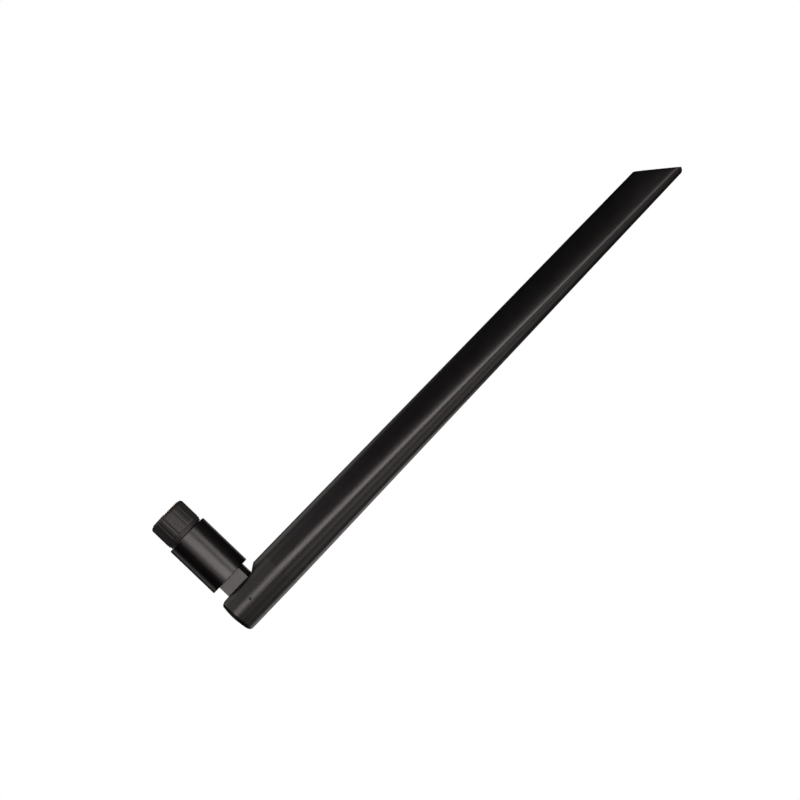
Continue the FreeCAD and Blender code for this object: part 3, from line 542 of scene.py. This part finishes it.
def blade_shell():
    """Outer skin, oblique cap, foot ring and the hollow inside, as one closed mesh."""
    foot = (shell_low.z - pivot.z) / MM
    top = (shell_high.z - pivot.z) / MM
    radius = (shell_high.y - shell_low.y) / 2 / MM
    outer = BladeForm(
        foot_section(radius),
        drop_section(-TIP_LEFT, TIP_RIGHT, TIP_RIDGE, TIP_HALF_DEPTH, TIP_EDGE_HALF_DEPTH),
        foot, top + TOP_MARGIN, RIDGE_SOFTNESS)
    seat_end = foot + SEAT_LENGTH
    inner = BladeForm(
        foot_section(radius - SHELL_WALL),
        drop_section(-TIP_LEFT + SHELL_WALL, TIP_RIGHT - SHELL_WALL, TIP_RIDGE - SHELL_WALL / 2,
                     TIP_HALF_DEPTH - SHELL_WALL + 0.1, TIP_EDGE_HALF_DEPTH - 0.3),
        seat_end, top + TOP_MARGIN, 0)

    points, faces = [], []

    def add_ring(ring):
        points.extend(ring)
        return len(points) - RING

    def add_skin(form, start, cut, shares):
        rings = [add_ring(form.at(start + (cut - start) * share)) for share in shares]
        for low, high in zip(rings, rings[1:]):
            faces.extend(ring_faces(low, high, RING))
        return rings[0], rings[-1]

    def add_cap(ring):
        """Strips from each front line to the rear line behind it."""
        half = RING // 2
        for step in range(half):
            front, rear = step, (RING - step) % RING
            next_front, next_rear = step + 1, RING - step - 1
            corners = [ring + front, ring + next_front, ring + next_rear, ring + rear]
            faces.append(tuple(dict.fromkeys(corners)))

    outer_foot, outer_top = add_skin(
        outer, np.full(RING, foot), outer.cut_heights(TOP_ROUNDING), SKIN_SHARES)
    for lean in np.radians(ROUNDING_LEANS):
        edge = add_ring(outer.rounded_edge(lean))
        faces.extend(ring_faces(outer_top, edge, RING))
        outer_top = edge
    add_cap(outer_top)
    seat = np.full(RING, seat_end)
    low_ring = inner.at(seat)
    low_ring[:, 2] = foot
    inner_foot = add_ring(low_ring)
    inner_low, inner_top = add_skin(
        inner, seat, inner.cut_heights(2 * SHELL_WALL), BORE_SHARES)
    faces.extend(ring_faces(inner_foot, inner_low, RING))
    faces.extend(ring_faces(outer_foot, inner_foot, RING))
    add_cap(inner_top)

    placed = [pivot + Vector(point) * MM for point in points]
    shell = mesh_piece("blade_shell", placed, faces, "blade_plastic")
    shell.data.set_sharp_from_angle(angle=math.radians(40))
    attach(shell, "blade")
    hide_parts("radome_shell")


# ---------------------------------------------------------------- ribbed grip

RIBS = 20
RIB_DEPTH = 0.09 * MM
RIB_WIDTH_SHARE = 0.6
PER_RIB = 18
BEAD_WIDTH = 0.35 * MM
BEAD_GAP = 0.25 * MM
GRIP_ROUNDING = 0.75 * MM
GRIP_EDGE = 0.05 * MM  # small roundings of the bead and skirt
ROUNDING_STEPS = 8
FADE_STEPS = 5  # of those steps, where the hollows run out at the front
MOUTH_LIP = 0.25 * MM
HEX_HALF_FLATS = 3.82 * MM
COLLAR_SEAT = 4.22 * MM
SKIRT_RADIUS = 4.72 * MM
SKIRT_LENGTH = 0.55 * MM


def ribbed_grip():
    """Plastic cover of the coupling nut, turned section with ribs raised along it."""
    radius = grip_high.y
    front, skirt_end = grip_low.x, grip_high.x
    rear = skirt_end - SKIRT_LENGTH
    bead_start = rear - BEAD_WIDTH
    groove_start = bead_start - BEAD_GAP
    count = RIBS * PER_RIB
    turns = np.linspace(0, 2 * math.pi, count, endpoint=False)
    phase = (turns * RIBS / (2 * math.pi)) % 1
    hollow = np.clip(1 - np.abs(phase - 0.5) / (0.5 * (1 - RIB_WIDTH_SHARE)), 0, 1)
    hollow = np.sin(hollow * math.pi / 2)

    from_flat = math.radians(30) - turns % math.radians(60)
    hexagon = HEX_HALF_FLATS / np.cos(from_flat)
    seat = np.maximum(hexagon, COLLAR_SEAT)

    # Each station is a place along the axis, a radius, and its share of the hollows' depth.
    stations = [(front, hexagon, 0), (front, radius - GRIP_ROUNDING - MOUTH_LIP, 0)]
    for step in reversed(range(ROUNDING_STEPS + 1)):
        lean = math.radians(90 * step / ROUNDING_STEPS)
        along = front + GRIP_ROUNDING * (1 - math.sin(lean))
        out = radius - GRIP_ROUNDING * (1 - math.cos(lean))
        stations.append((along, out, max(0.0, 1 - step / FADE_STEPS)))
    run = np.linspace(front + GRIP_ROUNDING, groove_start - 4 * GRIP_EDGE, 8)[1:]
    stations += [(along, radius, 1) for along in run]
    edge = GRIP_EDGE
    floor = radius - RIB_DEPTH
    stations += [
        (groove_start - edge, radius - edge * 0.3, 1), (groove_start, radius - edge, 1),
        (groove_start + edge, floor, 0), (bead_start - edge, floor, 0),
        (bead_start, radius - edge, 0), (bead_start + edge, radius - edge * 0.2, 0),
        (rear - edge, radius - edge * 0.2, 0), (rear, radius - edge * 1.2, 0),
        (rear, SKIRT_RADIUS + edge * 0.3, 0), (rear + edge * 0.3, SKIRT_RADIUS, 0),
        (skirt_end - edge, SKIRT_RADIUS, 0), (skirt_end, SKIRT_RADIUS - edge, 0),
        (skirt_end, seat, 0), (rear, seat, 0), (rear - edge, hexagon, 0),
    ]

    points = []
    for along, out, share in stations:
        ring_radius = out - RIB_DEPTH * share * hollow + np.zeros(count)
        for turn, distance in zip(turns, ring_radius):
            points.append((along, distance * math.cos(turn), distance * math.sin(turn)))
    faces = []
    for index in range(len(stations) - 1):
        faces += ring_faces(index * count, (index + 1) * count, count)
    last = (len(stations) - 1) * count
    faces += ring_faces(last, 0, count)
    grip = mesh_piece("ribbed_grip", points, faces, "grip_plastic")
    grip.data.set_sharp_from_angle(angle=math.radians(35))
    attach(grip, "nut")
    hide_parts("knurled_grip")


# ---------------------------------------------------------------- thread ridges

THREAD_PITCH = 25.4 / 36 * MM
THREAD_DEPTH = 0.34 * MM
THREAD_STEPS = 72  # to the turn
THREAD_INSET = 0.3 * MM
FADE_IN_STEPS = 14
END_DEPTH_SHARE = 0.08
FOOT_SHARE, CREST_SHARE = 0.42, 0.07  # half widths, of the pitch
ROOT_SINK = 0.04 * MM  # the ridge's foot goes into the wall


def thread_ridges():
    """The coupling thread: one helical ridge standing on the bore's wall."""
    wall = thread_mount["dims"]["r_mm"] * MM
    length = thread_mount["dims"]["length_mm"] * MM
    start = nut_low.x + THREAD_INSET + THREAD_PITCH / 2
    steps = int((length / THREAD_PITCH - 1) * THREAD_STEPS)
    foot_half, crest_half = THREAD_PITCH * FOOT_SHARE, THREAD_PITCH * CREST_SHARE
    points, faces = [], []
    for step in range(steps + 1):
        turn = 2 * math.pi * step / THREAD_STEPS
        along = start + THREAD_PITCH * step / THREAD_STEPS
        fade = min(1, step / FADE_IN_STEPS, (steps - step) / FADE_IN_STEPS)
        height = THREAD_DEPTH * (END_DEPTH_SHARE + (1 - END_DEPTH_SHARE) * fade)
        for offset, rise in ((-foot_half, -ROOT_SINK), (-crest_half, height),
                             (crest_half, height), (foot_half, -ROOT_SINK)):
            radius = wall - rise
            points.append((along + offset, radius * math.cos(turn), radius * math.sin(turn)))
    for step in range(steps):
        low, high = step * 4, step * 4 + 4
        for side in range(4):
            after = (side + 1) % 4
            faces.append((low + side, low + after, high + after, high + side))
    faces.append((0, 1, 2, 3))
    faces.append(tuple(steps * 4 + side for side in (3, 2, 1, 0)))
    ridge = mesh_piece("thread_ridge", points, faces, "nut_plating", smooth=False)
    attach(ridge, "nut")


# ---------------------------------------------------------------- coaxial cable

CABLE_SIDES = 28
BEND_STEPS = 24
RISE_STEPS = 14
STRAIGHT_END = 0.5 * MM  # before the bend
RISE_START = 1 * MM  # after the bend


def hinge_cable():
    """The cable's jacket from the neck, round the hinge and up into the blade."""
    neck_low, neck_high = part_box("coax_jacket_neck")
    blade_low, blade_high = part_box("coax_jacket_blade")
    radius = (neck_high.y - neck_low.y) / 2
    bend = blade_low.z - pivot.z
    bend_start = Vector((pivot.x - bend, 0, 0))
    centre = Vector((pivot.x - bend, 0, bend))
    route = [Vector((neck_low.x, 0, 0)), bend_start - Vector((STRAIGHT_END, 0, 0))]
    for step in range(BEND_STEPS + 1):
        turn = math.radians(-90 + 90 * step / BEND_STEPS)
        route.append(centre + Vector((math.cos(turn), 0, math.sin(turn))) * bend)
    for height in np.linspace(bend + RISE_START, blade_high.z - pivot.z, RISE_STEPS):
        route.append(Vector((pivot.x, 0, pivot.z + height)))
    points, faces = [], []
    for index, place in enumerate(route):
        before, after = route[max(0, index - 1)], route[min(len(route) - 1, index + 1)]
        along = (after - before).normalized()
        side = Vector((0, 1, 0))
        across = along.cross(side)
        for step in range(CABLE_SIDES):
            turn = 2 * math.pi * step / CABLE_SIDES
            points.append(place + (side * math.cos(turn) + across * math.sin(turn)) * radius)
    for index in range(len(route) - 1):
        faces += ring_faces(index * CABLE_SIDES, (index + 1) * CABLE_SIDES, CABLE_SIDES)
    faces.append(tuple(range(CABLE_SIDES)))
    last = (len(route) - 1) * CABLE_SIDES
    faces.append(tuple(last + step for step in reversed(range(CABLE_SIDES))))
    cable = mesh_piece("hinge_cable", points, faces, "coax_jacket")
    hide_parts("coax_hinge_bend", "coax_jacket_neck", "coax_jacket_blade")
    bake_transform(cable)


# ---------------------------------------------------------------- carried-over CAD nodes

def dress_cad_nodes():
    """Materials and smooth shading for the nodes shown as packed."""
    slots = {part["node"]: part["material_slot"] for part in frame["record"]["subparts"]}
    for node, piece in frame["nodes"].items():
        dress(piece, slots[node])
        piece.data.shade_smooth()
        piece.data.set_sharp_from_angle(angle=math.radians(30))


# ---------------------------------------------------------------- studio

LIGHT_RADIUS = 400 * MM
LIGHT_COLOUR = (1.0, 0.905, 0.895)
SURROUND_LIGHT = 0.012
FLOOR_DROP = 350 * MM
FLOOR_SIZE = 600 * MM
FLOOR_GREY = 0.9
WHITE = (1, 1, 1, 1)

# Name, degrees round the blade from the camera's side, height, width, tallness (mm), radiance.
PANELS = [
    ("key_high", 8, 420, 200, 200, 5.0),
    ("key_upper", 6, 242, 120, 170, 1.9),
    ("key_middle", 5, 85, 130, 150, 6.4),
    ("key_low", 1, -60, 170, 150, 4.6),
    ("key_foot", 2, -220, 180, 160, 1.3),
    ("left_front", -40, -120, 200, 220, 1.35),
    ("left_low", -75, -120, 220, 200, 2.0),
    ("left_rear", -120, -70, 250, 250, 0.9),
    ("right", 45, 80, 150, 220, 1.5),
    ("right_edge", 80, 60, 200, 220, 0.9),
    ("top", 90, 600, 250, 250, 22.0),
    ("right_rear", 135, -20, 200, 200, 1.1),
    ("rear_key", 178, 90, 100, 320, 0.4),
    ("below", 180, -850, 400, 400, 0.6),
]


def add_panel(name, turn, height, width, tallness, radiance):
    """A soft box on an upright circle round the object, facing inwards."""
    turn = math.radians(turn)
    spot = Vector((math.sin(turn), -math.cos(turn), 0)) * LIGHT_RADIUS
    place = spot + Vector((VIEW_CENTRE.x, 0, height * MM))
    target = Vector((VIEW_CENTRE.x, 0, (height * MM + VIEW_CENTRE.z) / 2))
    data = bpy.data.lights.new(name, "AREA")
    data.shape = "RECTANGLE"
    data.size, data.size_y = width * MM, tallness * MM
    data.energy = radiance * math.pi * data.size * data.size_y
    data.color = LIGHT_COLOUR
    light = bpy.data.objects.new(name, data)
    light.location = place
    light.rotation_mode = "QUATERNION"
    light.rotation_quaternion = (place - target).to_track_quat("Z", "Y")
    light.visible_camera = False
    scene.collection.objects.link(light)


def add_floor():
    """A plain pale floor, well below so that it holds no shadow of the blade."""
    pale = bpy.data.materials.new("pale_floor")
    pale.use_nodes = True
    shader = pale.node_tree.nodes["Principled BSDF"]
    shader.inputs["Base Color"].default_value = (FLOOR_GREY, FLOOR_GREY, FLOOR_GREY, 1)
    shader.inputs["Emission Color"].default_value = WHITE
    shader.inputs["Emission Strength"].default_value = FLOOR_GREY
    mesh = bpy.data.meshes.new("floor")
    signs = ((-1, -1), (1, -1), (1, 1), (-1, 1))
    corners = [(x * FLOOR_SIZE, y * FLOOR_SIZE, 0) for x, y in signs]
    mesh.from_pydata(corners, [], [(0, 1, 2, 3)])
    mesh.materials.append(pale)
    floor = bpy.data.objects.new("floor", mesh)
    floor.location = (VIEW_CENTRE.x, 0, -FLOOR_DROP)
    floor.visible_glossy = False
    floor.visible_diffuse = False
    scene.collection.objects.link(floor)


def studio():
    """White surround, pale floor, soft panels in front and to the sides."""
    world = bpy.data.worlds.new("studio")
    scene.world = world
    world.use_nodes = True
    tree = world.node_tree
    dim = tree.nodes["Background"]
    dim.inputs["Color"].default_value = WHITE
    dim.inputs["Strength"].default_value = SURROUND_LIGHT
    bright = tree.nodes.new("ShaderNodeBackground")
    bright.inputs["Color"].default_value = WHITE
    ray = tree.nodes.new("ShaderNodeLightPath")
    mix = tree.nodes.new("ShaderNodeMixShader")
    tree.links.new(ray.outputs["Is Camera Ray"], mix.inputs["Fac"])
    tree.links.new(dim.outputs["Background"], mix.inputs[1])
    tree.links.new(bright.outputs["Background"], mix.inputs[2])
    tree.links.new(mix.outputs["Shader"], tree.nodes["World Output"].inputs["Surface"])
    for panel in PANELS:
        add_panel(*panel)
    add_floor()


# ---------------------------------------------------------------- build

scene.view_settings.view_transform = "Standard"
add_camera()
blade_shell()
ribbed_grip()
thread_ridges()
hinge_cable()
dress_cad_nodes()
studio()
